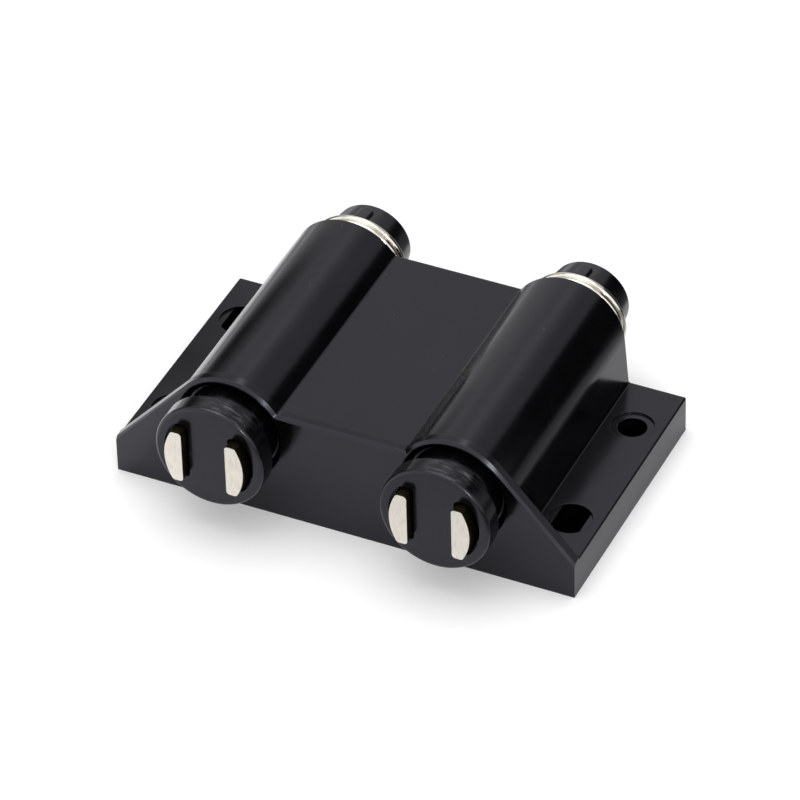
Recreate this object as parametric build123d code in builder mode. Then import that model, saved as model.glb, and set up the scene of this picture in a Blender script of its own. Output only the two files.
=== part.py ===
from build123d import *
import math
import os

# Double magnetic touch latch. A moulded housing holds two sprung plungers, each with a magnet
# between two steel pole plates. A push drives a plunger in against its spring, and a wire
# follower in a heart-shaped track holds it or lets it go.
#
# Housing frame: x = 0 is the mid-plane between the barrels, y = 0 is the middle of the depth
# with the plungers at -Y, z = 0 is the mounting face. The pieces of one barrel are built on the
# barrel's own axis (x = 0, z = 0 there) and then placed on the left and the right axis.
# All sizes are in millimetres.

# ---- Housing ----
housing_width = 60.0
housing_depth = 34.0
flange_thickness = 5.0
deck_height = 15.0
deck_wall = 2.0
barrel_edge_distance = 15.4     # housing's side to the nearer barrel's axis
barrel_axis_height = 11.0
barrel_radius = 7.4
skirt_foot_reach = 7.9          # barrel's axis to the skirt's foot on the flange
bore_radius = 6.2
bore_mouth_chamfer = 0.7
front_plate_thickness = 1.4
front_plate_draft = 4.0         # degrees, the plate's rim leans towards the front
front_plate_proud = 0.05        # above deck and barrels at its front, more at its back
front_plate_chamfer = 0.35      # along the front of the rim
back_rim_round = 0.1            # along its back
edge_round = 0.25
deck_root = 0.4
skirt_root = 0.25
pocket_end_wall = 2.0
pocket_side_wall = 1.8          # between a bore and the pocket under the deck
pocket_corner = 1.0
keyway_width = 2.2
keyway_depth = 0.8

# ---- Screw holes ----
screw_edge_distance = 3.85      # housing's side to a row of holes
screw_spacing = 18.7            # front hole to rear hole
screw_hole_diameter = 3.6
screw_slot_width = 3.7
spot_face_diameter = 5.4
spot_face_depth = 0.25

# ---- Plunger ----
plunger_travel = 2.6
stop_gap = 0.3                  # left between head and housing when pushed fully in
head_radius = 7.1
head_length = 2.6
head_face_wall = 1.1
head_round = 0.45
head_fit = 0.05                 # head cup on neck, radial
window_radius = 5.8
window_half_height = 3.85
window_corner = 0.6
web_half_width = 2.6            # plastic web between the two windows
neck_radius = 5.9
neck_wall = 0.35                # round the pocket for magnet and plates, where it is thinnest
guide_clearance = 0.08          # guide in bore, radial
guide_setback = 0.5             # guide starts this far behind the bore's mouth chamfer
guide_length = 6.8
key_clearance = 0.2             # guide key in keyway, each side
key_floor_gap = 0.25
tail_width = 6.0
tail_thickness = 2.4
tail_length = 9.4
track_depth = 0.9
track_clearance = 0.2           # follower's leg in track, each side
track_shift = 0.9               # sideways step of the follower over the full travel
track_overtravel = 0.6
notch_setback = 0.9             # latched point, short of the full travel
tail_corner = 0.8

# ---- Magnet and pole plates ----
magnet_thickness = 5.6
magnet_height = 6.8
magnet_length = 7.6
magnet_gap = 0.2                # magnet's front to the head's inner face
plate_gap = 0.05                # magnet to plate, and plate to the neck's pocket
plate_thickness = 2.3
plate_half_height = 3.6
plate_curve_radius = 7.0
plate_corner = 0.45
plate_reach = 1.35              # plate in front of the head's face

# ---- Return spring ----
spring_wire = 0.9
spring_mean_radius = 4.9
spring_turns = 7
spring_end_gap = 0.1

# ---- Follower wire and its leaf ----
follower_wire = 0.8
follower_bend = 0.9
follower_lift = 0.25            # wire above the tail's top face
leg_floor_gap = 0.2
pivot_clearance = 0.06
arm_length = 9.3
leaf_width = 3.0
leaf_thickness = 0.25
leaf_gap = 0.1
leaf_length = 7.0
leaf_seat_depth = 3.0
leaf_fit = 0.04

# ---- End cap and wire ring ----
spigot_length = 8.0
spigot_fit = 0.05               # spigot in bore, radial
tongue_length = 4.5
tongue_pivot_setback = 2.0      # pivot hole behind the tongue's tip
cap_neck_radius = 5.5
ring_groove_length = 2.85
cap_front_radius = 5.65
cap_rear_radius = 5.0
cap_length = 4.0
cap_round = 0.4
ring_wire = 0.9
ring_turns = 2
ring_pitch_gap = 0.05           # between the two turns
ring_clearance = 0.1            # ring's inside on the cap's neck
ring_end_angle = 100.0          # degrees from the crown to the wire's ends, towards +X
cap_key_width = 1.8
cap_key_length = 2.7
cap_key_height = 0.45           # above the cap's side
cap_key_round = 0.35
cap_key_angle = 1.0             # degrees from the crown, towards +X

# ---- Places along the barrel's axis, from the sizes above ----
front_face = -housing_depth / 2
rear_face = housing_depth / 2
body_front = front_face + front_plate_thickness
head_back = front_face - stop_gap - plunger_travel
head_front = head_back - head_length
neck_front = head_front + head_face_wall
guide_front = front_face + bore_mouth_chamfer + guide_setback
guide_back = guide_front + guide_length
pocket_back = neck_front + 2 * magnet_gap + magnet_length
tail_back = guide_back + tail_length
spigot_front = rear_face - spigot_length
tongue_tip = spigot_front - tongue_length
pivot_y = tongue_tip + tongue_pivot_setback
track_home_y = pivot_y - arm_length
cap_shoulder = rear_face + ring_groove_length
cap_back = cap_shoulder + cap_length

barrel_offset = housing_width / 2 - barrel_edge_distance
screw_row_offset = housing_width / 2 - screw_edge_distance
under_pocket_half_width = barrel_offset - bore_radius - pocket_side_wall
under_pocket_length = housing_depth - 2 * pocket_end_wall
guide_radius = bore_radius - guide_clearance
spigot_radius = bore_radius - spigot_fit
cup_radius = neck_radius + head_fit
plate_inner = magnet_thickness / 2 + plate_gap
plate_outer = plate_inner + plate_thickness
neck_pocket_radius = neck_radius - neck_wall
neck_pocket_half_height = plate_half_height + plate_gap
wire_radius = follower_wire / 2
wire_height = wire_radius + follower_lift
leaf_bottom = wire_height + wire_radius + leaf_gap
sides = {"left": -1, "right": 1}


def export_pair(piece, name):
    """Write a barrel's piece twice: on the left barrel's axis and on the right one's."""
    for side, sign in sides.items():
        placed = piece.moved(Location((sign * barrel_offset, 0, barrel_axis_height)))
        placed.label = f"{name}_{side}"
        export_step(placed, f"parts/{placed.label}.step")


def chord_reach(radius, height):
    """How far a barrel's circle reaches to each side of its axis, at a height over the base."""
    return math.sqrt(radius**2 - (height - barrel_axis_height) ** 2)


def edges_along(body, x, z):
    """The body's edges that run front to rear at +x and -x, at height z."""
    return body.edges().filter_by(
        lambda e: abs(abs(e.center().X) - x) < 0.1
        and abs(e.center().Z - z) < 0.1
        and abs((e % 0.5).Y) > 0.9
    )


def deck_corners(body, radius, height):
    """The hollow corners where a deck of this height meets the barrels."""
    return edges_along(body, barrel_offset - chord_reach(radius, height), height)


def slot_between(start, end, width):
    """A round-ended slot from one point to another, in the sketch that is being drawn."""
    run = Vector(*end) - Vector(*start)
    with Locations(Vector(*start) + run / 2):
        SlotCenterToCenter(run.length, width, rotation=math.degrees(math.atan2(run.Y, run.X)))


os.makedirs("parts", exist_ok=True)

# ---- Front plate: its gussets run straight from each flange's edge onto the barrel ----
front_plane = Plane.XZ.offset(-front_face)
with BuildPart() as front_plate:
    with BuildSketch(front_plane):
        with Locations((0, flange_thickness / 2)):
            Rectangle(housing_width, flange_thickness)
        plate_height = deck_height + front_plate_proud
        with Locations((0, plate_height / 2)):
            Rectangle(2 * barrel_offset, plate_height)
        rim_radius = barrel_radius + front_plate_proud
        for sign in sides.values():
            with BuildLine() as gusset:
                CenterArc((sign * barrel_offset, barrel_axis_height), rim_radius, 0, 360)
                edge_x = sign * housing_width / 2
                Line((edge_x, 0), (edge_x, flange_thickness))
            make_hull(gusset.line.edges())
    extrude(amount=-front_plate_thickness, taper=-front_plate_draft)
    # Base and sides stay flush with the flanges.
    with BuildSketch(front_plane):
        with Locations((0, deck_height)):
            Rectangle(housing_width, 2 * deck_height)
    extrude(amount=-front_plate_thickness, mode=Mode.INTERSECT)
    fillet(deck_corners(front_plate, rim_radius, plate_height), deck_root)
    front_rim = front_plate.faces().sort_by(Axis.Y)[0].edges()
    chamfer(front_rim.filter_by(lambda e: e.center().Z > flange_thickness), front_plate_chamfer)
    back_rim = front_plate.faces().sort_by(Axis.Y)[-1].edges()
    fillet(back_rim.filter_by(lambda e: e.center().Z > flange_thickness), back_rim_round)

# ---- Housing: flanges, deck and two barrels with skirts, behind the front plate ----
with BuildPart() as housing:
    with BuildSketch(Plane.XZ.offset(-body_front)):
        with Locations((0, flange_thickness / 2)):
            Rectangle(housing_width, flange_thickness)
        with Locations((0, deck_height / 2)):
            Rectangle(2 * barrel_offset, deck_height)
        # The skirt leans out from the barrel's side to its foot on the flange.
        for sign in sides.values():
            with BuildLine() as skirt:
                CenterArc((sign * barrel_offset, barrel_axis_height), barrel_radius, 0, 360)
                foot_x = sign * (barrel_offset + skirt_foot_reach)
                Line((foot_x, 0), (foot_x, flange_thickness))
            make_hull(skirt.line.edges())
    extrude(amount=-(housing_depth - front_plate_thickness))
    fillet(edges_along(housing, barrel_offset + skirt_foot_reach, flange_thickness), skirt_root)
    fillet(deck_corners(housing, barrel_radius, deck_height), deck_root)
    fillet(edges_along(housing, housing_width / 2, flange_thickness), edge_round)
    add(front_plate.part)
    rear_outline = housing.faces().sort_by(Axis.Y)[-1].outer_wire().edges()
    rear_outline = rear_outline.filter_by(lambda e: e.center().Z > edge_round)
    fillet(rear_outline, edge_round)

    # Pocket under the deck, open at the mounting face.
    with BuildSketch():
        RectangleRounded(2 * under_pocket_half_width, under_pocket_length, pocket_corner)
    extrude(amount=deck_height - deck_wall, mode=Mode.SUBTRACT)

    # Bores with a chamfered mouth, and a keyway along the bottom of each.
    with BuildSketch(front_plane):
        for sign in sides.values():
            with Locations((sign * barrel_offset, barrel_axis_height)):
                Circle(bore_radius)
    extrude(amount=-housing_depth, mode=Mode.SUBTRACT)
    mouths = housing.edges().filter_by(GeomType.CIRCLE).group_by(Axis.Y)[0]
    mouths = mouths.filter_by(lambda e: abs(e.radius - bore_radius) < 0.01)
    chamfer(mouths, bore_mouth_chamfer)
    with BuildSketch(front_plane):
        for sign in sides.values():
            with Locations((sign * barrel_offset, barrel_axis_height - bore_radius)):
                Rectangle(keyway_width, 2 * keyway_depth)
    extrude(amount=-(guide_back + plunger_travel + stop_gap - front_face), mode=Mode.SUBTRACT)

    # Screw holes: a round one and a two-flat slot in each flange, in a spot face.
    for sign in sides.values():
        for end in (-1, 1):
            x, y = sign * screw_row_offset, end * screw_spacing / 2
            with BuildSketch(Plane.XY.offset(flange_thickness)):
                with Locations((x, y)):
                    Circle(spot_face_diameter / 2)
            extrude(amount=-spot_face_depth, mode=Mode.SUBTRACT)
            with BuildSketch():
                with Locations((x, y)):
                    if sign == end:
                        Circle(screw_hole_diameter / 2)
                    else:
                        Circle(spot_face_diameter / 2)
                        Rectangle(screw_slot_width, spot_face_diameter, mode=Mode.INTERSECT)
            extrude(amount=flange_thickness, mode=Mode.SUBTRACT)
housing.part.label = "housing"
export_step(housing.part, "parts/housing.step")

# ---- Plunger head: a cup with two windows for the pole plates ----
with BuildPart() as plunger_head:
    with BuildSketch(Plane.XZ.offset(-head_front)):
        Circle(head_radius)
    extrude(amount=-head_length)
    fillet(plunger_head.edges().filter_by(GeomType.CIRCLE).sort_by(Axis.Y)[0], head_round)
    with BuildSketch(Plane.XZ.offset(-neck_front)):
        Circle(cup_radius)
    extrude(amount=-head_length, mode=Mode.SUBTRACT)
    with BuildSketch(Plane.XZ.offset(-head_front)) as windows:
        Circle(window_radius)
        Rectangle(2 * head_radius, 2 * window_half_height, mode=Mode.INTERSECT)
        Rectangle(2 * web_half_width, 2 * head_radius, mode=Mode.SUBTRACT)
        fillet(windows.vertices(), window_corner)
    extrude(amount=-head_face_wall, mode=Mode.SUBTRACT)
export_pair(plunger_head.part, "plunger_head")

# ---- Plunger: hollow neck, keyed guide, and a tail with the heart-shaped track ----
with BuildPart() as plunger:
    with BuildSketch(Plane.XZ.offset(-neck_front)):
        Circle(neck_radius)
    extrude(amount=neck_front - guide_front)
    with BuildSketch(Plane.XZ.offset(-guide_front)):
        Circle(guide_radius)
        with Locations((0, -bore_radius)):
            Rectangle(keyway_width - 2 * key_clearance, 2 * (keyway_depth - key_floor_gap))
    extrude(amount=-guide_length)
    with BuildSketch(Plane.XZ.offset(-guide_back)):
        with Locations((0, -tail_thickness / 2)):
            Rectangle(tail_width, tail_thickness)
    extrude(amount=-tail_length)
    tail_corners = plunger.edges().filter_by(Axis.Z).group_by(Axis.Y)[-1]
    chamfer(tail_corners, tail_corner)
    # Magnet and plates slide into the neck's pocket from the front.
    with BuildSketch(Plane.XZ.offset(-neck_front)):
        Circle(neck_pocket_radius)
        Rectangle(2 * neck_radius, 2 * neck_pocket_half_height, mode=Mode.INTERSECT)
    extrude(amount=neck_front - pocket_back, mode=Mode.SUBTRACT)

    # Heart-shaped track: out along one lane, back to the notch, home along the other lane.
    slope = track_shift / plunger_travel
    far_y = track_home_y - plunger_travel - track_overtravel
    far_x = slope * (plunger_travel + track_overtravel)
    home = (0, track_home_y)
    notch = (0, track_home_y - plunger_travel + notch_setback)
    with BuildSketch():
        lanes = [home, (far_x, far_y), notch, (-far_x, far_y), home]
        for start, end in zip(lanes, lanes[1:]):
            slot_between(start, end, follower_wire + 2 * track_clearance)
    extrude(amount=-track_depth, mode=Mode.SUBTRACT)
export_pair(plunger.part, "plunger")

# ---- Magnet and the two pole plates ----
with BuildPart() as magnet:
    with BuildSketch(Plane.XZ.offset(-(neck_front + magnet_gap))):
        Rectangle(magnet_thickness, magnet_height)
    extrude(amount=-magnet_length)
export_pair(magnet.part, "magnet")

plate_front = head_front - plate_reach
plate_back = neck_front + magnet_gap + magnet_length
for hand, sign in (("inner", -1), ("outer", 1)):
    with BuildPart() as pole_plate:
        with BuildSketch(Plane.XZ.offset(-plate_front)) as plate_face:
            with Locations((sign * (plate_outer - plate_curve_radius), 0)):
                Circle(plate_curve_radius)
            with Locations((sign * (plate_inner + plate_thickness / 2), 0)):
                Rectangle(plate_thickness, 2 * plate_half_height, mode=Mode.INTERSECT)
            fillet(plate_face.vertices(), plate_corner)
        extrude(amount=-(plate_back - plate_front))
    for side, side_sign in sides.items():
        # "inner" plates face the mid-plane, on both barrels.
        if side_sign > 0:
            name = f"pole_plate_{hand}_{side}"
        else:
            name = f"pole_plate_{'outer' if hand == 'inner' else 'inner'}_{side}"
        placed = pole_plate.part.moved(
            Location((side_sign * barrel_offset, 0, barrel_axis_height))
        )
        placed.label = name
        export_step(placed, f"parts/{name}.step")

# ---- Return spring, from the guide's back to the cap's spigot ----
spring_start = guide_back + spring_end_gap + spring_wire / 2
spring_height = spigot_front - spring_end_gap - spring_wire / 2 - spring_start
with BuildPart() as return_spring:
    with BuildLine():
        coil = Helix(
            spring_height / spring_turns,
            spring_height,
            spring_mean_radius,
            center=(0, spring_start, 0),
            direction=(0, 1, 0),
        )
    with BuildSketch(Plane(origin=coil @ 0, z_dir=coil % 0)):
        Circle(spring_wire / 2)
    sweep()
export_pair(return_spring.part, "return_spring")

# ---- Follower: a wire with two legs, one in the pivot hole and one in the track ----
with BuildPart() as follower:
    with BuildLine() as follower_path:
        FilletPolyline(
            (0, pivot_y, -tail_thickness + leg_floor_gap),
            (0, pivot_y, wire_height),
            (0, track_home_y, wire_height),
            (0, track_home_y, -track_depth + leg_floor_gap),
            radius=follower_bend,
        )
    with BuildSketch(Plane(origin=follower_path.line @ 0, z_dir=follower_path.line % 0)):
        Circle(wire_radius)
    sweep()
export_pair(follower.part, "follower")

# ---- Leaf that holds the follower down in its track ----
with BuildPart() as follower_leaf:
    with BuildSketch(Plane.XY.offset(leaf_bottom)) as leaf_outline:
        leaf_back = spigot_front + leaf_seat_depth - leaf_fit
        with Locations((0, leaf_back - leaf_length / 2)):
            Rectangle(leaf_width, leaf_length)
        fillet(leaf_outline.vertices().group_by(Axis.Y)[0], leaf_width / 3)
    extrude(amount=leaf_thickness)
export_pair(follower_leaf.part, "follower_leaf")

# ---- Round-nosed key on the end cap's side, at its front edge ----
with BuildPart() as cap_key:
    with BuildSketch(Plane.XY.offset(cap_rear_radius - cap_round)):
        slot_between((0, cap_shoulder), (0, cap_shoulder + cap_key_length - cap_key_width / 2),
                     cap_key_width)
        with Locations((0, cap_shoulder - cap_key_width)):
            Rectangle(2 * cap_key_width, 2 * cap_key_width, mode=Mode.SUBTRACT)
    extrude(amount=cap_front_radius)
    with BuildSketch():
        with BuildLine():
            Polyline(
                (0, cap_shoulder),
                (cap_front_radius + cap_key_height, cap_shoulder),
                (cap_rear_radius + cap_key_height, cap_back),
                (0, cap_back),
                close=True,
            )
        make_face()
    revolve(axis=Axis.Y, mode=Mode.INTERSECT)
    key_rim = cap_key.faces().sort_by(Axis.Z)[-1].edges().sort_by(Axis.Y)[1:]
    fillet(key_rim, cap_key_round)

# ---- End cap: tongue, spigot, ring groove and the tapered cap with its key ----
with BuildPart() as end_cap:
    with BuildSketch(Plane.XY):
        with BuildLine():
            Polyline(
                (0, spigot_front),
                (spigot_radius, spigot_front),
                (spigot_radius, rear_face),
                (cap_neck_radius, rear_face),
                (cap_neck_radius, cap_shoulder),
                (cap_front_radius, cap_shoulder),
                (cap_rear_radius, cap_back),
                (0, cap_back),
                close=True,
            )
        make_face()
    revolve(axis=Axis.Y)
    fillet(end_cap.edges().filter_by(GeomType.CIRCLE).sort_by(Axis.Y)[-1], cap_round)
    with BuildSketch(Plane.XZ.offset(-spigot_front)):
        with Locations((0, -tail_thickness / 2)):
            Rectangle(tail_width, tail_thickness)
    extrude(amount=tongue_length)
    with BuildSketch():
        with Locations((0, pivot_y)):
            Circle(wire_radius + pivot_clearance)
    extrude(amount=-tail_thickness, mode=Mode.SUBTRACT)
    # Slot for the leaf's end.
    with BuildSketch(Plane.XY.offset(leaf_bottom - leaf_fit)):
        with Locations((0, spigot_front + leaf_seat_depth / 2)):
            Rectangle(leaf_width + 2 * leaf_fit, leaf_seat_depth)
    extrude(amount=leaf_thickness + 2 * leaf_fit, mode=Mode.SUBTRACT)
    add(cap_key.part.rotate(Axis.Y, cap_key_angle))
export_pair(end_cap.part, "end_cap")

# ---- Two-turn wire ring in the groove between barrel and cap ----
ring_pitch = ring_wire + ring_pitch_gap
ring_mean_radius = cap_neck_radius + ring_clearance + ring_wire / 2
ring_start = rear_face + (ring_groove_length - ring_turns * ring_pitch) / 2
with BuildPart() as wire_ring:
    with BuildLine():
        ring_coil = Helix(
            ring_pitch,
            ring_turns * ring_pitch,
            ring_mean_radius,
            center=(0, ring_start, 0),
            direction=(0, 1, 0),
        )
    with BuildSketch(Plane(origin=ring_coil @ 0, z_dir=ring_coil % 0)):
        Circle(ring_wire / 2)
    sweep()
# Both ends of the wire lie just below the barrel's middle, on its +X side.
export_pair(wire_ring.part.rotate(Axis.Y, ring_end_angle), "wire_ring")
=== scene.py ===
# %% [markdown]
# # A double magnetic touch latch
# The latch is a glossy black moulding with two barrels. A sprung plunger looks out of each
# barrel, and the bright ends of two steel pole plates look out of each plunger. Its solids come
# ready from the CAD model, at their real size in metres, so this lesson is about finishes,
# small wire parts and light. The CAD pieces are the fixed frame that everything else fits.

# %% Load the frame
import math

import bmesh
import bpy
from mathutils import Matrix, Quaternion, Vector


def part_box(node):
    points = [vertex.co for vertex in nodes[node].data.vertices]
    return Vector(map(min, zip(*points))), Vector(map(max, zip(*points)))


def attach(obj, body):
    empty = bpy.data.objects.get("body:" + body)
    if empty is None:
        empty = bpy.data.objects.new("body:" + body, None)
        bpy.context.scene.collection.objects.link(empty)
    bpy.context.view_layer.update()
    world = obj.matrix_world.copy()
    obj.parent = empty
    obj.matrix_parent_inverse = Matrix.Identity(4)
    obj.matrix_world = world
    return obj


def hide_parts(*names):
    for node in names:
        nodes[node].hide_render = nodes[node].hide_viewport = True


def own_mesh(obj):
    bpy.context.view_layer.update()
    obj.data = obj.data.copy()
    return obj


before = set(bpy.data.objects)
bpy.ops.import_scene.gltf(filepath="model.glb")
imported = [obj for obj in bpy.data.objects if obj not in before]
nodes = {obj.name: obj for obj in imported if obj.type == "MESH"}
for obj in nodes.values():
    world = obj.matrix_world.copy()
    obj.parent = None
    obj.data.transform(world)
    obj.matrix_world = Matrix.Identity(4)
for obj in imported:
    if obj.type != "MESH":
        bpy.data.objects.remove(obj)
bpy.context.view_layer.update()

MM = 0.001

# %% [markdown]
# ## Helpers for node trees
# Every finish below is a tree of nodes. Setting each socket by hand takes three lines a node,
# so one helper adds a node and fills its inputs: a socket is linked, and a plain value is set.
# The others are the few steps that nearly every tree repeats.

# %% Add a node and fill its inputs
def fill(tree, node, inputs):
    """Link or set each of a node's inputs, given by name or number."""
    for name, value in inputs.items():
        if isinstance(value, bpy.types.NodeSocket):
            tree.links.new(value, node.inputs[name])
        else:
            node.inputs[name].default_value = value


def put(tree, kind, inputs=None, **settings):
    """Add a node, set its properties, then link or set its inputs."""
    made = tree.nodes.new(kind)
    for name, value in settings.items():
        setattr(made, name, value)
    fill(tree, made, inputs or {})
    return made


print("node helpers:", fill.__name__, put.__name__)

# %% The steps that trees repeat
def maths(tree, operation, first, second=0.0, third=0.0):
    """One Math node, given by its operation's name; returns its output socket."""
    made = put(
        tree, "ShaderNodeMath", {0: first, 1: second, 2: third}, operation=operation
    )
    return made.outputs[0]


def fade(tree, value, clear, full):
    """0 where the value is clear, 1 where it is full, with a straight ramp between."""
    inputs = {"Value": value, "From Min": clear, "From Max": full}
    return put(tree, "ShaderNodeMapRange", inputs).outputs["Result"]


def mixed(tree, share, first, second):
    """Mix two colours by a mask; returns the colour's socket."""
    inputs = {0: share, 6: first, 7: second}
    return put(
        tree, "ShaderNodeMix", inputs, data_type="RGBA", clamp_factor=True
    ).outputs[2]


def noise(tree, vector, scale, detail, roughness=0.5):
    """A noise from 0 to 1, with about scale bumps to the metre."""
    inputs = {"Vector": vector, "Scale": scale, "Detail": detail, "Roughness": roughness}
    return put(tree, "ShaderNodeTexNoise", inputs).outputs["Fac"]


def position(tree):
    """The place on the piece, in metres."""
    return put(tree, "ShaderNodeTexCoord").outputs["Object"]


def facing(tree):
    """The way that the surface looks: its true normal."""
    return put(tree, "ShaderNodeNewGeometry").outputs["Normal"]


def parts(tree, vector):
    """The X, Y and Z of a vector."""
    return put(tree, "ShaderNodeSeparateXYZ", {"Vector": vector}).outputs


def scaled(tree, vector, scale):
    """A vector times another, part by part."""
    return put(
        tree, "ShaderNodeVectorMath", {0: vector, 1: scale}, operation="MULTIPLY"
    ).outputs["Vector"]


print("tree steps:", [step.__name__ for step in (maths, fade, mixed, noise, parts, scaled)])

# %% Groups and materials
def new_group(name, inputs, outputs):
    """Start a shader group. Inputs are {name: default}; outputs are {name: socket type}."""
    group = bpy.data.node_groups.new(name, "ShaderNodeTree")
    for label, value in inputs.items():
        kind = "NodeSocketVector" if isinstance(value, tuple) else "NodeSocketFloat"
        socket = group.interface.new_socket(label, in_out="INPUT", socket_type=kind)
        socket.default_value = value
    for label, kind in outputs.items():
        group.interface.new_socket(label, in_out="OUTPUT", socket_type=kind)
    given = group.nodes.new("NodeGroupInput").outputs
    return group, given, group.nodes.new("NodeGroupOutput")


def place(tree, group, inputs):
    """Put a shared group into a material's tree; returns its outputs."""
    return put(tree, "ShaderNodeGroup", inputs, node_tree=group).outputs


def new_material(name):
    """An empty material; returns it with its tree and its output node."""
    material = bpy.data.materials.new(name)
    material.use_nodes = True
    material.node_tree.nodes.clear()
    return material, material.node_tree, put(material.node_tree, "ShaderNodeOutputMaterial")


MASK, NORMAL = "NodeSocketFloat", "NodeSocketVector"
print("a group's outputs are a", MASK, "or a", NORMAL)

# %% [markdown]
# ## Shared effect: softly broken edges
# A moulded or stamped edge is never perfectly sharp. The Bevel node bends the shading normal
# near an edge, so a thin line of light runs along it, and comparing that normal with the true
# one gives a mask of the edges, where handling wears a surface first. The larger rounds are
# real ones in the solids; this is for the edges of a tenth of a millimetre and less.

# %% Edge group
STILL_FLAT, FULL_EDGE = 0.995, 0.8      # how alike the bent and the true normal are
edge_group, given, wanted = new_group(
    "broken_edges", {"Radius": 0.1 * MM}, {"Mask": MASK, "Normal": NORMAL}
)
bent = put(edge_group, "ShaderNodeBevel", {"Radius": given["Radius"]}, samples=4)
likeness = put(
    edge_group, "ShaderNodeVectorMath", {0: bent.outputs["Normal"], 1: facing(edge_group)},
    operation="DOT_PRODUCT",
).outputs["Value"]
mask = fade(edge_group, likeness, STILL_FLAT, FULL_EDGE)
fill(edge_group, wanted, {"Mask": mask, "Normal": bent.outputs["Normal"]})
print("group:", edge_group.name)

# %% [markdown]
# ## Shared effect: the skin of a moulding
# The mould's steel is polished, but the plastic shrinks as it cools: it keeps a very fine grain
# and slow, shallow waves. Both are noise, at two scales, and the sum is a height for a Bump
# node. The slow part also shifts the gloss a little, so no face reflects quite evenly.

# %% Moulded skin group
GRAINS, WAVES = 9000.0, 160.0           # to the metre
skin_group, given, wanted = new_group(
    "moulded_skin", {"Vector": (0.0, 0.0, 0.0), "Grain": 0.35, "Wave": 1.0},
    {"Height": MASK, "Tone": MASK},
)
grain = noise(skin_group, given["Vector"], GRAINS, 2.0, 0.6)
wave = noise(skin_group, given["Vector"], WAVES, 1.0, 0.4)
grain_height = maths(skin_group, "MULTIPLY", grain, given["Grain"])
wave_height = maths(skin_group, "MULTIPLY", wave, given["Wave"])
height = maths(skin_group, "ADD", grain_height, wave_height)
fill(skin_group, wanted, {"Height": height, "Tone": wave})
print("group:", skin_group.name)

# %% [markdown]
# ## Shared effect: dust
# Black plastic holds a little static charge, so specks of dust sit on its upper faces. Voronoi
# cells give scattered points. A second number for each cell decides whether it holds a speck at
# all, and the normal's upward part keeps the specks off the walls and the underside.

# %% Dust group
LEVEL_ENOUGH = (0.3, 0.8)               # the normal's Z: no dust, and all of it
dust_group, given, wanted = new_group(
    "dust_specks",
    {"Vector": (0.0, 0.0, 0.0), "Density": 1400.0, "Share": 0.02, "Size": 0.1},
    {"Mask": MASK},
)
cells = put(
    dust_group, "ShaderNodeTexVoronoi",
    {"Vector": given["Vector"], "Scale": given["Density"]},
    voronoi_dimensions="3D", feature="F1",
)
chance = put(dust_group, "ShaderNodeSeparateColor", {"Color": cells.outputs["Color"]})
holds_one = maths(dust_group, "LESS_THAN", chance.outputs["Red"], given["Share"])
heart = maths(dust_group, "MULTIPLY", given["Size"], 0.4)
near = fade(dust_group, cells.outputs["Distance"], given["Size"], heart)
upward = fade(dust_group, parts(dust_group, facing(dust_group))["Z"], *LEVEL_ENOUGH)
specks = maths(dust_group, "MULTIPLY", near, holds_one)
fill(dust_group, wanted, {"Mask": maths(dust_group, "MULTIPLY", specks, upward)})
print("group:", dust_group.name)

# %% [markdown]
# ## Shared effect: rubbed patches
# Where fingers and doors touch a plunger, its gloss is rubbed into short, uneven smears. They
# are noise stretched in one direction and cut off at a threshold, inside a broader patch that
# says where the rubbing happened at all.

# %% Rub group
SMEAR_CUT, PATCH_CUT = (0.5, 0.72), (0.42, 0.6)
rub_group, given, wanted = new_group(
    "rubbed_patches",
    {"Vector": (0.0, 0.0, 0.0), "Stretch": (1.0, 1.0, 1.0), "Patch": 260.0, "Amount": 0.5},
    {"Mask": MASK},
)
stretched = scaled(rub_group, given["Vector"], given["Stretch"])
smear = fade(rub_group, noise(rub_group, stretched, 1.0, 4.0, 0.65), *SMEAR_CUT)
patch = fade(rub_group, noise(rub_group, given["Vector"], given["Patch"], 1.0), *PATCH_CUT)
both = maths(rub_group, "MULTIPLY", smear, patch)
fill(rub_group, wanted, {"Mask": maths(rub_group, "MULTIPLY", both, given["Amount"])})
print("group:", rub_group.name)

# %% [markdown]
# ## Scuffs on the plungers' heads
# A closing door slides over the crown of each head and leaves pale scuffs, which run round the
# head and a little askew. They sit at one clock angle about the plunger's own axis. The two
# plungers mirror each other across X = 0, so taking the sign of X into account gives one
# formula for both. The scuffs are only on the heads' round sides, never on their faces.

# %% Head scuffs
BARREL_AT, AXIS_HEIGHT = 14.6 * MM, 11 * MM
HEAD_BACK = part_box("plunger_head_left")[1].y
SCUFF_ASKEW = math.radians(15)
SCUFF_STRETCH = (450.0, 2600.0, 450.0)
SCUFF_CUT = (0.5, 0.75)
SIDE_LIMIT = 0.5                        # of the normal's Y: below it is a side


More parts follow.
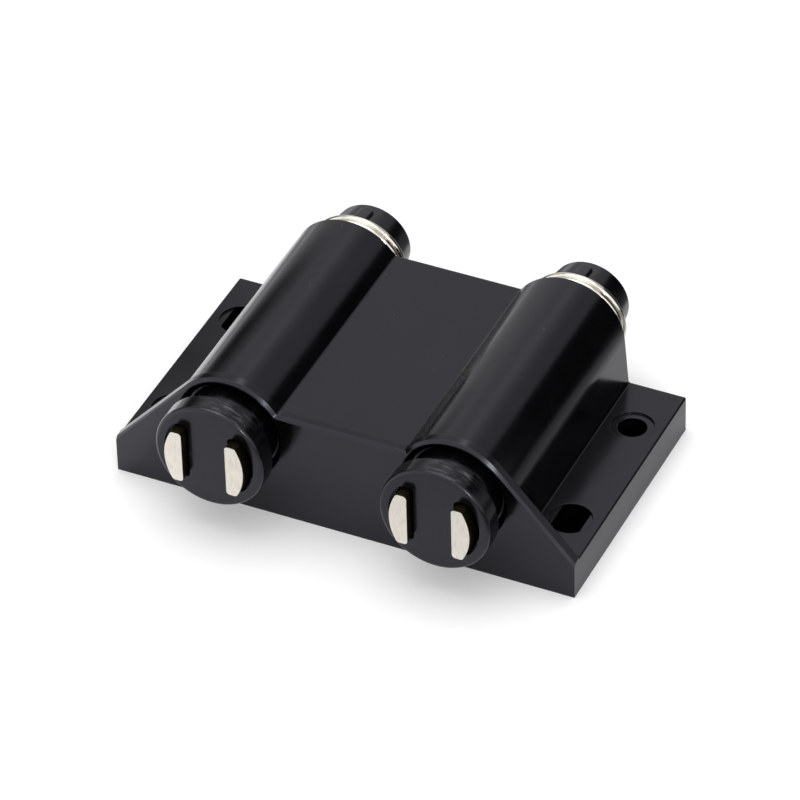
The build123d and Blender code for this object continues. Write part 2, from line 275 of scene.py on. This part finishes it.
def head_scuffs(tree, place_on, clock, spread):
    """A mask of scuffs on the heads' sides; clock and spread are in degrees."""
    spot = parts(tree, place_on)
    left_or_right = maths(tree, "SIGN", spot["X"])
    aside = maths(tree, "MULTIPLY_ADD", left_or_right, -BARREL_AT, spot["X"])
    above = maths(tree, "SUBTRACT", spot["Z"], AXIS_HEIGHT)
    angle = maths(tree, "ARCTAN2", aside, above)
    off = maths(tree, "ABSOLUTE", maths(tree, "SUBTRACT", angle, math.radians(clock)))
    near = fade(tree, off, math.radians(spread), math.radians(spread / 3))
    lengthways = maths(tree, "ABSOLUTE", parts(tree, facing(tree))["Y"])
    on_side = maths(tree, "LESS_THAN", lengthways, SIDE_LIMIT)
    on_head = maths(tree, "LESS_THAN", spot["Y"], HEAD_BACK)
    skewed = put(
        tree, "ShaderNodeMapping",
        {"Vector": place_on, "Rotation": (0.0, 0.0, SCUFF_ASKEW), "Scale": SCUFF_STRETCH},
    ).outputs["Vector"]
    scuffs = fade(tree, noise(tree, skewed, 1.0, 5.0, 0.7), *SCUFF_CUT)
    where = maths(tree, "MULTIPLY", on_side, on_head)
    where = maths(tree, "MULTIPLY", where, near)
    return maths(tree, "MULTIPLY", where, scuffs)


print("heads end at y", round(HEAD_BACK / MM, 2), "mm")

# %% [markdown]
# ## Finish: black moulded plastic
# The housing, the plungers and the end caps are the same family of hard black plastic. Its own
# colour is almost nothing: what shows is the room in its gloss. So the colour stays very dark,
# the roughness low, and the character comes from the skin, the dust, the rubs and the edges.
# A faint blue in the specular tint makes that gloss a cool grey. One function makes the
# material, and each piece gets its own gloss and amount of wear.

# %% Black plastic
BLACK = (0.0010, 0.0010, 0.0012, 1)
WORN = (0.012, 0.011, 0.012, 1)
DUST = (0.12, 0.12, 0.11, 1)
SCUFF = (0.11, 0.11, 0.11, 1)
COOL = (0.84, 0.85, 1.0, 1)
EDGE_WEAR = 0.35                        # how much of an edge is worn
TONE_SPAN, GLOSS_SHIFT = (0.3, 0.7), 0.03   # the skin's slow waves shift the gloss
RUB_DULLS, DUST_DULLS = 0.3, 0.5        # added to the roughness
SKIN_BUMP = {"Strength": 0.35, "Distance": 0.004 * MM}
PLASTIC_IOR = 1.54


def black_plastic(name, gloss, rub, rub_stretch, dust_share, edge, handled=None):
    """Black moulding: gloss is the roughness of the untouched skin, edge its broken edge.

    Handled is the clock angle and spread of the scuffs that fingers and doors leave."""
    material, tree, output = new_material(name)
    place_on = position(tree)
    edges = place(tree, edge_group, {"Radius": edge})
    skin = place(tree, skin_group, {"Vector": place_on})
    dust = place(tree, dust_group, {"Vector": place_on, "Share": dust_share})["Mask"]
    rubs = place(
        tree, rub_group, {"Vector": place_on, "Stretch": rub_stretch, "Amount": rub}
    )["Mask"]
    worn = maths(tree, "MAXIMUM", rubs, maths(tree, "MULTIPLY", edges["Mask"], EDGE_WEAR))
    colour = mixed(tree, worn, BLACK, WORN)
    colour = mixed(tree, dust, colour, DUST)
    if handled:
        colour = mixed(tree, head_scuffs(tree, place_on, *handled), colour, SCUFF)
    rough = put(
        tree, "ShaderNodeMapRange",
        {"Value": skin["Tone"], "From Min": TONE_SPAN[0], "From Max": TONE_SPAN[1],
         "To Min": gloss - GLOSS_SHIFT, "To Max": gloss + GLOSS_SHIFT},
    ).outputs["Result"]
    rough = maths(tree, "MULTIPLY_ADD", rubs, RUB_DULLS, rough)
    rough = maths(tree, "MULTIPLY_ADD", dust, DUST_DULLS, rough)
    bump = put(
        tree, "ShaderNodeBump",
        {"Height": skin["Height"], "Normal": edges["Normal"], **SKIN_BUMP},
    )
    shader = put(
        tree, "ShaderNodeBsdfPrincipled",
        {"Base Color": colour, "Roughness": rough, "Normal": bump.outputs["Normal"],
         "IOR": PLASTIC_IOR, "Specular Tint": COOL},
    )
    fill(tree, output, {"Surface": shader.outputs["BSDF"]})
    return material


print("a black is", BLACK[:3], "and a worn edge", WORN[:3])

# %% The three blacks
housing_plastic = black_plastic(
    "housing_black", gloss=0.19, rub=0.1, rub_stretch=(900, 90, 900),
    dust_share=0.018, edge=0.09 * MM,
)
plunger_plastic = black_plastic(
    "plunger_black", gloss=0.17, rub=0.4, rub_stretch=(700, 260, 700),
    dust_share=0.015, edge=0.08 * MM, handled=(16, 34),
)
cap_plastic = black_plastic(
    "cap_black", gloss=0.22, rub=0.25, rub_stretch=(600, 300, 600),
    dust_share=0.015, edge=0.08 * MM,
)
print("black plastics:", housing_plastic.name, plunger_plastic.name, cap_plastic.name)

# %% [markdown]
# ## Finish: plated and bare metal
# The pole plates are stamped from mild steel and nickel plated: warm white, with the stamping's
# faint streaks still under the plating. Their shear-cut sides are rougher, and painted
# near-black:
# painted shade and a painted reflection of the black plastic around them. The wire ring is
# polished nickel, brighter and smoother. The spring wire is drawn and left bare. One function
# covers them, with streaks that can be stretched along the piece.

# %% Metals
STREAK_CUT = (0.45, 0.75)
STREAK_DULLS, SIDE_DULLS = 0.25, 0.25   # added to the roughness
SHEARED = (0.75, 0.6)                   # the normal's Y: an end, and a sheared side
STREAK_BUMP = {"Strength": 0.3, "Distance": 0.003 * MM}


def plated_metal(name, colour, dull, gloss, streak, streak_share, edge, sides=None):
    """A metal whose colour fades to a duller one along stretched streaks.

    Sides is the near-black colour of the shear-cut sides, which face away from the Y axis:
    painted shade and painted reflection."""
    material, tree, output = new_material(name)
    edges = place(tree, edge_group, {"Radius": edge})
    lines = noise(tree, scaled(tree, position(tree), streak), 1.0, 3.0, 0.7)
    marks = put(
        tree, "ShaderNodeMapRange",
        {"Value": lines, "From Min": STREAK_CUT[0], "From Max": STREAK_CUT[1],
         "To Max": streak_share},
    ).outputs["Result"]
    tint = mixed(tree, marks, colour, dull)
    rough = maths(tree, "MULTIPLY_ADD", marks, STREAK_DULLS, gloss)
    if sides:
        lengthways = maths(tree, "ABSOLUTE", parts(tree, facing(tree))["Y"])
        rough_and_shaded_side = fade(tree, lengthways, *SHEARED)
        # Painted shade: the sides take a near-black colour that stands in for the shade and dark
        # reflections on them.
        tint = mixed(tree, rough_and_shaded_side, tint, sides)
        rough = maths(tree, "MULTIPLY_ADD", rough_and_shaded_side, SIDE_DULLS, rough)
    bump = put(
        tree, "ShaderNodeBump",
        {"Height": lines, "Normal": edges["Normal"], **STREAK_BUMP},
    )
    shader = put(
        tree, "ShaderNodeBsdfPrincipled",
        {"Base Color": tint, "Metallic": 1.0, "Roughness": rough,
         "Normal": bump.outputs["Normal"]},
    )
    fill(tree, output, {"Surface": shader.outputs["BSDF"]})
    return material


print("streaks add", STREAK_DULLS, "to a metal's roughness")

# %% The three metals
METAL_EDGE = 0.05 * MM
nickel = plated_metal(
    "nickel_plates", colour=(0.93, 0.88, 0.80, 1), dull=(0.62, 0.56, 0.47, 1),
    gloss=0.17, streak=(2600, 2600, 700), streak_share=0.5, edge=METAL_EDGE,
    # Near-black sides: painted shade and a painted reflection of the black plastic around the
    # plates.
    sides=(0.032, 0.026, 0.013, 1),
)
ring_nickel = plated_metal(
    "nickel_ring", colour=(0.88, 0.84, 0.76, 1), dull=(0.60, 0.55, 0.46, 1),
    gloss=0.06, streak=(1800, 1800, 1800), streak_share=0.25, edge=METAL_EDGE,
)
spring_steel = plated_metal(
    "spring_steel", colour=(0.55, 0.54, 0.52, 1), dull=(0.30, 0.29, 0.27, 1),
    gloss=0.28, streak=(1800, 1800, 1800), streak_share=0.7, edge=METAL_EDGE,
)
print("metals:", nickel.name, ring_nickel.name, spring_steel.name)

# %% [markdown]
# ## Finish: the magnet
# A ferrite magnet is pressed and fired powder, so it looks like slate: dark grey, matt and
# slightly pitted. Two noises do it, one for the tone and one for the pits.

# %% Ferrite
FERRITE_DARK = (0.020, 0.019, 0.019, 1)
FERRITE_LIGHT = (0.045, 0.043, 0.042, 1)
CLOUDS, PITS = 700.0, 5000.0            # to the metre
PIT_BUMP = {"Strength": 0.5, "Distance": 0.02 * MM}


def ferrite_finish(name):
    """Matt dark grey with small pits."""
    material, tree, output = new_material(name)
    place_on = position(tree)
    clouds = noise(tree, place_on, CLOUDS, 3.0)
    colour = mixed(tree, clouds, FERRITE_DARK, FERRITE_LIGHT)
    pits = noise(tree, place_on, PITS, 2.0)
    bump = put(tree, "ShaderNodeBump", {"Height": pits, **PIT_BUMP})
    shader = put(
        tree, "ShaderNodeBsdfPrincipled",
        {"Base Color": colour, "Roughness": 0.62, "Normal": bump.outputs["Normal"]},
    )
    fill(tree, output, {"Surface": shader.outputs["BSDF"]})
    return material


ferrite = ferrite_finish("ferrite_magnet")
print("magnet finish:", ferrite.name)

# %% [markdown]
# ## Dress the CAD pieces
# The solids whose shape is already right keep their mesh and only change their material. The
# record's slot on each node says which finish it takes.

# %% Give every CAD node its finish
FINISHES = {
    "housing_plastic": housing_plastic,
    "plunger_plastic": plunger_plastic,
    "cap_plastic": cap_plastic,
    "ferrite": ferrite,
    "nickel_steel": nickel,
    "spring_wire": spring_steel,
    "ring_wire": ring_nickel,
}
for piece in nodes.values():
    slot_name = piece.data.materials[0].name.split(".")[0]
    piece.material_slots[0].material = FINISHES[slot_name]
    print(piece.name, "->", FINISHES[slot_name].name)

# %% [markdown]
# ## Coiled wire
# A spring sits behind each plunger, and two turns of bright wire lie behind each barrel. A wire
# is a small disc carried round an axis while it also moves along it, which is just what the
# spin operator does with a step vector. It gives even quads and clean highlights, where the
# CAD's triangles would show as facets in polished metal. The radius, rise and first point come
# from the CAD node that the coil stands for, so it fits the same groove.

# %% One coil
WIRE_SIDES = 16
END_ROUND = 0.1                         # of the wire's diameter


def coil(name, node, wire, turns, steps, finish):
    """A coil of round wire about the Y axis, in the place of a CAD node."""
    low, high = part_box(node)
    middle = (low + high) / 2
    mean_radius = (high.x - low.x - wire) / 2
    rise = high.y - low.y - wire
    first = min((v.co for v in nodes[node].data.vertices), key=lambda point: point.y)
    clock = math.atan2(first.x - middle.x, first.z - middle.z)
    mesh = bmesh.new()
    bmesh.ops.create_circle(mesh, cap_ends=True, segments=WIRE_SIDES, radius=wire / 2)
    out = Matrix.Translation((mean_radius, low.y + wire / 2, 0))
    round_axis = Matrix.Rotation(clock - math.pi / 2, 4, "Y")
    aside = Matrix.Translation((middle.x, 0, middle.z))
    bmesh.ops.transform(mesh, matrix=aside @ round_axis @ out, verts=mesh.verts)
    bmesh.ops.spin(
        mesh, geom=mesh.faces[:] + mesh.edges[:] + mesh.verts[:],
        cent=(middle.x, 0, middle.z), axis=(0, 1, 0), angle=2 * math.pi * turns,
        dvec=(0, rise / (turns * steps), 0), steps=turns * steps, use_duplicate=False,
    )
    bmesh.ops.holes_fill(mesh, edges=[e for e in mesh.edges if e.is_boundary], sides=0)
    ends = [face for face in mesh.faces if len(face.verts) > 4]
    rims = [edge for edge in mesh.edges if any(face in ends for face in edge.link_faces)]
    bmesh.ops.bevel(
        mesh, geom=rims, offset=END_ROUND * wire, segments=2, profile=0.5,
        affect="EDGES", material=-1,
    )
    bmesh.ops.recalc_face_normals(mesh, faces=mesh.faces)
    for face in mesh.faces:
        face.smooth = len(face.verts) == 4
    data = bpy.data.meshes.new(name)
    mesh.to_mesh(data)
    mesh.free()
    data.materials.append(finish)
    piece = bpy.data.objects.new(name, data)
    bpy.context.scene.collection.objects.link(piece)
    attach(piece, "housing")
    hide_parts(node)
    print(name, "ends:", len(ends), "faces:", len(data.polygons))
    return piece


# %% [markdown]
# ## Rings and return springs
# The rings stay as they are. Each spring's far end rests on its cap, and each spring gets a mesh
# of its own.

# %% Rings and springs, left and right
RING_WIRE, RING_TURNS, RING_STEPS = 0.9 * MM, 2, 96
SPRING_WIRE, SPRING_TURNS, SPRING_STEPS = 0.9 * MM, 7, 40
for side in ("left", "right"):
    coil("ring_coil_" + side, "wire_ring_" + side, RING_WIRE, RING_TURNS, RING_STEPS,
         ring_nickel)
    node = "return_spring_" + side
    spring = coil("spring_coil_" + side, node, SPRING_WIRE, SPRING_TURNS, SPRING_STEPS,
                  spring_steel)
    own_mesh(spring)

# %% [markdown]
# ## The table
# The latch stands on a wide white table. The camera sees it white, while the light that it
# throws on the latch stays at a plain level. Black gloss shows little but its surroundings, so
# light and shade are painted on the table where only the gloss sees them: two ramps say how
# much, one from left to right and one from front to back. Under the latch the table is painted
# black all over, a painted shadow.

# %% A helper for ramps
def ramp(tree, value, stops, unit):
    """A level that follows a value: each stop is a place, in units, and its level."""
    first, last = stops[0][0], stops[-1][0]
    share = fade(tree, value, first * unit, last * unit)
    made = put(tree, "ShaderNodeValToRGB", {"Fac": share})
    elements = made.color_ramp.elements
    while len(elements) < len(stops):
        elements.new(0.5)
    for element, (at, level) in zip(elements, stops):
        element.position = (at - first) / (last - first)
        element.color = (level, level, level, 1)
    return made.outputs["Color"]


print("helper:", ramp.__name__)

# %% Table
TABLE_HALF = 3.0                        # metres
TABLE_GLOW = 0.16                       # what lifts the lit paper to plain white
PAPER, DARK = (0.86, 0.86, 0.86, 1), (0, 0, 0, 1)
HALF_LONG, HALF_DEEP = 30 * MM, 17 * MM     # of the housing's footprint
# Millimetres to the right of the latch's middle, and the painted light level that the gloss sees
# on the table there.
LIT_ACROSS = ((-42, 2.0), (-34, 1.8), (-28, 0.85), (0, 0.78), (31, 0.75), (38, 0.3),
              (53, 0.2))
# Millimetres behind the latch's middle, and the painted light level there: a strip of the table
# is painted as out of the light.
LIT_DEPTH = ((-45, 0.75), (-28, 1.0), (42, 1.0), (46, 0.2), (100, 0.25), (125, 0.8),
             (160, 0.8), (175, 0.3))

floor_mesh = bmesh.new()
bmesh.ops.create_grid(floor_mesh, x_segments=1, y_segments=1, size=TABLE_HALF)
floor_data = bpy.data.meshes.new("floor")
floor_mesh.to_mesh(floor_data)
floor_mesh.free()
floor = bpy.data.objects.new("floor", floor_data)
bpy.context.scene.collection.objects.link(floor)
print("floor:", round(floor.dimensions.x, 2), "m wide")

# %% Table paper
paper, tree, output = new_material("white_table")
spot = parts(tree, position(tree))
lit = maths(
    tree, "MULTIPLY", ramp(tree, spot["X"], LIT_ACROSS, MM), ramp(tree, spot["Y"], LIT_DEPTH, MM)
)
paths = put(tree, "ShaderNodeLightPath").outputs
# Painted light and shade: the glow and the paper's colour that the gloss sees follow the two
# ramps.
straight = maths(tree, "MAXIMUM", paths["Is Camera Ray"], paths["Is Transmission Ray"])
mirrored = maths(tree, "MULTIPLY", paths["Is Glossy Ray"], lit)
# Under the latch the table is painted black with no glow, a painted shadow, so its holes look
# black.
out_long = maths(tree, "DIVIDE", maths(tree, "ABSOLUTE", spot["X"]), HALF_LONG)
out_deep = maths(tree, "DIVIDE", maths(tree, "ABSOLUTE", spot["Y"]), HALF_DEEP)
beside = maths(tree, "GREATER_THAN", maths(tree, "MAXIMUM", out_long, out_deep), 1.0)
seen = maths(tree, "MULTIPLY", maths(tree, "MAXIMUM", straight, mirrored), beside)
painted_table_shade = maths(tree, "MULTIPLY", paths["Is Glossy Ray"], maths(tree, "SUBTRACT", 1.0, lit))
painted_table_shade = maths(tree, "MAXIMUM", painted_table_shade, maths(tree, "SUBTRACT", 1.0, beside))
shader = put(
    tree, "ShaderNodeBsdfPrincipled",
    {"Base Color": mixed(tree, painted_table_shade, PAPER, DARK), "Roughness": 0.8,
     "Specular IOR Level": 0.1, "Emission Color": (1, 1, 1, 1),
     "Emission Strength": maths(tree, "MULTIPLY", seen, TABLE_GLOW)},
)
fill(tree, output, {"Surface": shader.outputs["BSDF"]})
floor_data.materials.append(paper)
print("table paper:", paper.name, "lit by", len(LIT_ACROSS), "by", len(LIT_DEPTH), "stops")

# %% [markdown]
# ## The room
# The room beyond the table is a light tent, and on a black gloss it is most of what shows, so
# it is built as carefully as the latch. The barrels mirror the part of it behind them, which is
# brightest a little to the left of straight up and falls off to the right. One angle around the
# depth axis describes that, and a ramp turns the angle into a level. The front of the tent is
# white, its roof an even grey, and low down at the back it is darker. The camera sees plain
# white, and only gloss sees the tent: the light on matt surfaces stays plain.

# %% World
FRONT, ROOF, BEHIND, PLAIN = 1.1, 0.58, 0.3, 0.8
# Degrees from straight up towards +X, and how bright the tent is there.
TENT = ((-180, 0.5), (-96, 0.62), (-88, 0.66), (-72, 0.66), (-60, 0.70), (-48, 0.73),
        (-28, 0.69), (-22, 0.71), (-14, 0.85), (-7, 0.85), (0, 0.64), (8, 0.53), (17, 0.43),
        (30, 0.46), (60, 0.45), (90, 0.45), (180, 0.3))
# Where each part starts and is complete, on the direction's Y or Z.
ROOF_FROM, FRONT_FROM = (0.625, 0.60), (0.0, -0.3)
BEHIND_FROM, LOW_FROM = (0.73, 0.80), (0.30, 0.05)

world = bpy.data.worlds.new("light_tent")
bpy.context.scene.world = world
world.use_nodes = True
tree = world.node_tree
tree.nodes.clear()
towards = parts(tree, put(tree, "ShaderNodeTexCoord").outputs["Generated"])
around = maths(tree, "ARCTAN2", towards["X"], towards["Z"])
roof = fade(tree, towards["Y"], *ROOF_FROM)
front = fade(tree, towards["Y"], *FRONT_FROM)
low_behind = maths(
    tree, "MULTIPLY", fade(tree, towards["Y"], *BEHIND_FROM), fade(tree, towards["Z"], *LOW_FROM)
)
level = ramp(tree, around, TENT, math.pi / 180)
for share, brightness in ((roof, ROOF), (low_behind, BEHIND), (front, FRONT)):
    level = mixed(tree, share, level, (brightness, brightness, brightness, 1))
paths = put(tree, "ShaderNodeLightPath").outputs
level = mixed(tree, paths["Is Glossy Ray"], (PLAIN, PLAIN, PLAIN, 1), level)
seen = maths(tree, "MAXIMUM", paths["Is Camera Ray"], paths["Is Transmission Ray"])
background = put(
    tree, "ShaderNodeBackground", {"Color": mixed(tree, seen, level, (1, 1, 1, 1))}
)
put(tree, "ShaderNodeOutputWorld", {"Surface": background.outputs["Background"]})
print("tent stops:", len(TENT))

# %% [markdown]
# ## Two dark cards beside the latch
# Black gloss gets its depth from dark bands between the bright ones, so dark cards stand where
# the barrels mirror them. The left card is near, behind the latch, and its slanting edge makes
# a band on the left barrel that fades towards the back. The right card stands along the latch:
# both barrels mirror it, and the nearer one shows more of it. Only gloss sees the cards, so
# they cast no shadow.

# %% A helper for cards
def upright_card(name, middle, turn, size):
    """A square card on its edge: turn is in degrees about Z, from facing the Y axis."""
    mesh = bmesh.new()
    bmesh.ops.create_grid(mesh, x_segments=1, y_segments=1, size=size / 2)
    upright = Matrix.Rotation(math.pi / 2, 4, "X")
    turned = Matrix.Rotation(math.radians(turn), 4, "Z")
    moved = Matrix.Translation(middle)
    bmesh.ops.transform(mesh, matrix=moved @ turned @ upright, verts=mesh.verts)
    data = bpy.data.meshes.new(name)
    mesh.to_mesh(data)
    mesh.free()
    card = bpy.data.objects.new(name, data)
    bpy.context.scene.collection.objects.link(card)
    card.visible_camera = card.visible_diffuse = card.visible_shadow = False
    card.visible_transmission = False
    material, tree, output = new_material(name + "_paper")
    data.materials.append(material)
    print(name, "is", round(size / MM), "mm wide")
    return tree, output, parts(tree, position(tree))


def finish_card(tree, output, dark):
    """Black where dark is 1, and nothing at all where it is 0."""
    clear = put(tree, "ShaderNodeBsdfTransparent").outputs["BSDF"]
    black = put(tree, "ShaderNodeEmission", {"Color": DARK}).outputs["Emission"]
    card_paper = put(tree, "ShaderNodeMixShader", {0: dark, 1: clear, 2: black})
    fill(tree, output, {"Surface": card_paper.outputs["Shader"]})


# %% Left card
LEFT_AWAY, LEFT_SIZE = 100 * MM, 160 * MM
LEFT_TOP, LEFT_FOOT = (98 * MM, 45 * MM), (12 * MM, 27 * MM)    # clear, and full
LEAN, EDGE_FOOT, EDGE_SOFT = 0.58, -27 * MM, 6 * MM
LEFT_DARK = 0.93

corner = Vector((-1, 1, 0)).normalized() * LEFT_AWAY
tree, output, spot = upright_card("left_card", corner, 45, LEFT_SIZE)
along = maths(tree, "MULTIPLY", maths(tree, "ADD", spot["X"], spot["Y"]), math.sqrt(0.5))
# Its right edge leans right as it rises, and its top and bottom edges are soft.
edge_at = maths(tree, "MULTIPLY_ADD", spot["Z"], LEAN, EDGE_FOOT)
past = maths(tree, "SUBTRACT", along, edge_at)
height = maths(
    tree, "MULTIPLY", fade(tree, spot["Z"], *LEFT_TOP), fade(tree, spot["Z"], *LEFT_FOOT)
)
dark = maths(tree, "MULTIPLY", fade(tree, past, EDGE_SOFT, -EDGE_SOFT), height)
finish_card(tree, output, maths(tree, "MULTIPLY", dark, LEFT_DARK))

# %% Right card
RIGHT_AWAY, RIGHT_BEHIND, RIGHT_SIZE = 70 * MM, 180 * MM, 300 * MM
RIGHT_TOP = (82 * MM, 72 * MM)                                  # clear, and full
RIGHT_DARK = 0.98
tree, output, spot = upright_card(
    "right_card", Vector((RIGHT_AWAY, RIGHT_BEHIND, 0)), 90, RIGHT_SIZE
)
dark = fade(tree, spot["Z"], *RIGHT_TOP)
finish_card(tree, output, maths(tree, "MULTIPLY", dark, RIGHT_DARK))
print("cards:", round(LEFT_AWAY / MM), "and", round(RIGHT_AWAY / MM), "mm away")

# %% [markdown]
# ## Lamps
# A wide soft lamp overhead lights the table and gives the soft shadow under the barrels. A
# smaller one in front, to the right and above, draws the thin bright lines on the rounded rims.

# %% Soft lamps
def soft_lamp(name, direction, distance, width, watts):
    """A square lamp that looks at the latch from the given direction."""
    light = bpy.data.lights.new(name, "AREA")
    light.shape = "SQUARE"
    light.size = width
    light.energy = watts
    lamp = bpy.data.objects.new(name, light)
    bpy.context.scene.collection.objects.link(lamp)
    outwards = Vector(direction).normalized()
    lamp.location = outwards * distance
    lamp.rotation_mode = "QUATERNION"
    lamp.rotation_quaternion = outwards.to_track_quat("Z", "Y")
    lamp.visible_camera = False


soft_lamp("overhead_lamp", (-0.1, 0.1, 1.0), distance=1.0, width=0.9, watts=4.0)
soft_lamp("rim_lamp", (0.56, -0.70, 0.44), distance=0.9, width=0.15, watts=1.6)

# %% [markdown]
# ## Camera
# A long lens, well back from the latch, keeps its long sides nearly parallel. It looks from the
# front and a little from the right, about forty degrees down, at the latch's upper front.

# %% Camera
AZIMUTH, ELEVATION = math.radians(25.831), math.radians(39.028)
ROLL = math.radians(-1.682)
DISTANCE = 0.6976
TARGET = Vector((7.08, -15.02, 21.09)) * MM
back = Vector((
    math.cos(ELEVATION) * math.sin(AZIMUTH),
    -math.cos(ELEVATION) * math.cos(AZIMUTH),
    math.sin(ELEVATION),
))
lens = bpy.data.cameras.new("camera")
lens.sensor_width = 36.0
lens.lens = 269.36
lens.clip_start, lens.clip_end = 0.01, 20.0
camera = bpy.data.objects.new("camera", lens)
bpy.context.scene.collection.objects.link(camera)
camera.location = TARGET + back * DISTANCE
camera.rotation_mode = "QUATERNION"
camera.rotation_quaternion = (
    (-back).to_track_quat("-Z", "Y") @ Quaternion((0, 0, 1), ROLL)
)
bpy.context.scene.camera = camera
bpy.context.scene.view_settings.view_transform = "Standard"
print("camera at", [round(x, 3) for x in camera.location], "with a", lens.lens, "mm lens")
